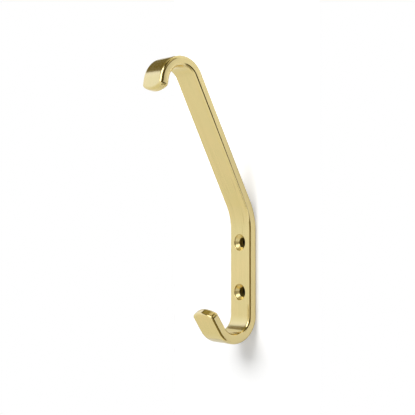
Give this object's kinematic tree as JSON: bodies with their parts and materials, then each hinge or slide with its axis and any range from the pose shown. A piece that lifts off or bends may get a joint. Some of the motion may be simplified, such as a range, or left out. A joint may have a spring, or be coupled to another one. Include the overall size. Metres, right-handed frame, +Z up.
{
  "type": "hat hook",
  "caption": "Wall hook bent from flat brass bar, with a hat curl on a long leaning arm above a coat hook and countersunk screw holes.",
  "frame": {"origin": "on the back face that lies on the wall, halfway between the two screw holes", "axes": "+Z up along the back plate, -Y out from the wall towards the room, X across the bar"},
  "size_m": [0.015, 0.0607, 0.1392],
  "materials": {
    "polished_brass": "polished, very finely brushed"
  },
  "bodies": {
    "root": {"hook": "polished_brass"}
  },
  "joints": []
}
